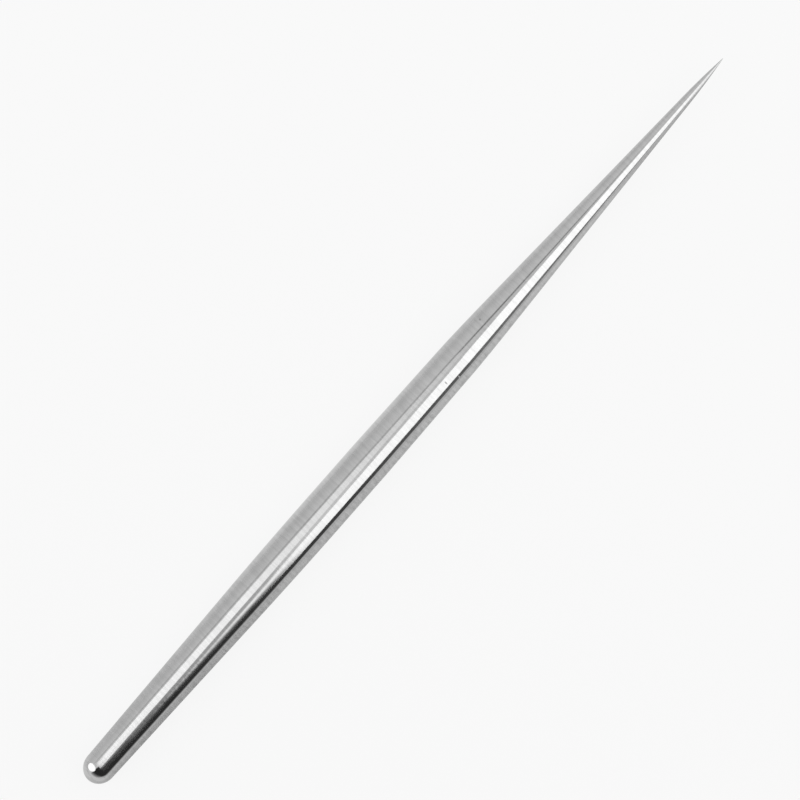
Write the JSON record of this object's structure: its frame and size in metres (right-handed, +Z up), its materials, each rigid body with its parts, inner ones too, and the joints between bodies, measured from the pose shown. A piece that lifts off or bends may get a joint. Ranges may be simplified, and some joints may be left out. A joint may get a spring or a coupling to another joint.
{
  "type": "pottery needle tool",
  "caption": "Slender solid steel needle for clay work, with a domed butt, a smooth round grip and a long tapering sharp point for scoring, piercing and trimming.",
  "frame": {"origin": "on the tool's axis, in the middle of its cylindrical grip, where it is held", "axes": "+X along the axis towards the sharp tip, +Z up when the tool lies on a table, +Y across it"},
  "size_m": [0.173, 0.008, 0.008],
  "materials": {
    "polished_steel": "ground and hand-polished stainless steel"
  },
  "bodies": {
    "root": {"needle": "polished_steel"}
  },
  "joints": []
}
